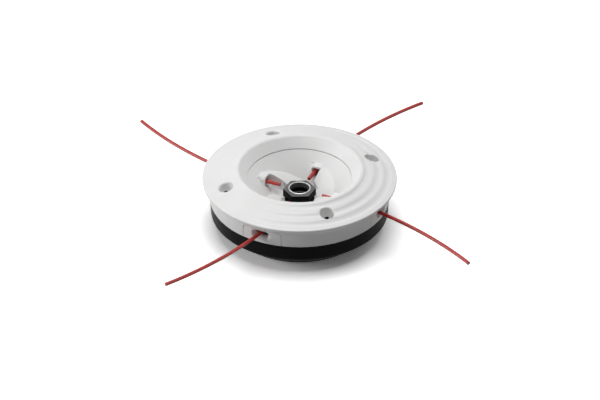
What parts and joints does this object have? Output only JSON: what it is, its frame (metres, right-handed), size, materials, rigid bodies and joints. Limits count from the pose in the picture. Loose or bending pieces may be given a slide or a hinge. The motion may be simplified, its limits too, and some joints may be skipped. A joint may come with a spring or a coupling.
{
  "type": "fixed line trimmer head",
  "caption": "Round trimmer head with a white flanged cover, a bowl with a hexagon spindle nut, a black cup, and short lengths of red line gripped by toothed cams.",
  "frame": {"origin": "centre of the flat foot, on the spindle axis", "axes": "+Z along the spindle axis, up towards the gearbox; line ports on +X, +Y, -X and -Y"},
  "size_m": [0.2626, 0.2626, 0.0436],
  "materials": {
    "white_plastic": "fine moulded satin",
    "black_plastic": "fine moulded satin",
    "black_steel": "black oxide, bright collar",
    "screw_steel": "zinc plated",
    "cam_steel": "sintered, plain",
    "pin_steel": "ground",
    "spring_steel": "drawn wire",
    "line_nylon": "extruded nylon"
  },
  "bodies": {
    "head": {"top_cover": "white_plastic", "hub_body": "white_plastic", "base_cup": "black_plastic", "hub_nut": "black_steel", "cover_screws": "screw_steel", "port_insert_1": "white_plastic", "cam_pin_1": "pin_steel", "cam_spring_1": "spring_steel", "trimmer_line_1": "line_nylon", "port_insert_2": "white_plastic", "cam_pin_2": "pin_steel", "cam_spring_2": "spring_steel", "trimmer_line_2": "line_nylon", "port_insert_3": "white_plastic", "cam_pin_3": "pin_steel", "cam_spring_3": "spring_steel", "trimmer_line_3": "line_nylon", "port_insert_4": "white_plastic", "cam_pin_4": "pin_steel", "cam_spring_4": "spring_steel", "trimmer_line_4": "line_nylon"},
    "cam_1": {"grip_cam_1": "cam_steel"},
    "cam_2": {"grip_cam_2": "cam_steel"},
    "cam_3": {"grip_cam_3": "cam_steel"},
    "cam_4": {"grip_cam_4": "cam_steel"}
  },
  "joints": [
    {"name": "cam_grip_1", "type": "hinge", "parent": "head", "child": "cam_1", "pos_m": [0.042, -0.009, 0.0263], "axis": [0, 0, 1], "range_deg": [0, 25], "stiffness_Nm_per_rad": 0.02, "springref_deg": -34.38, "deforming": ["cam_spring_1"]},
    {"name": "cam_grip_2", "type": "hinge", "parent": "head", "child": "cam_2", "pos_m": [0.009, 0.042, 0.0263], "axis": [0, 0, 1], "range_deg": [0, 25], "stiffness_Nm_per_rad": 0.02, "springref_deg": -34.38, "deforming": ["cam_spring_2"]},
    {"name": "cam_grip_3", "type": "hinge", "parent": "head", "child": "cam_3", "pos_m": [-0.042, 0.009, 0.0263], "axis": [0, 0, 1], "range_deg": [0, 25], "stiffness_Nm_per_rad": 0.02, "springref_deg": -34.38, "deforming": ["cam_spring_3"]},
    {"name": "cam_grip_4", "type": "hinge", "parent": "head", "child": "cam_4", "pos_m": [-0.009, -0.042, 0.0263], "axis": [0, 0, 1], "range_deg": [0, 25], "stiffness_Nm_per_rad": 0.02, "springref_deg": -34.38, "deforming": ["cam_spring_4"]}
  ]
}
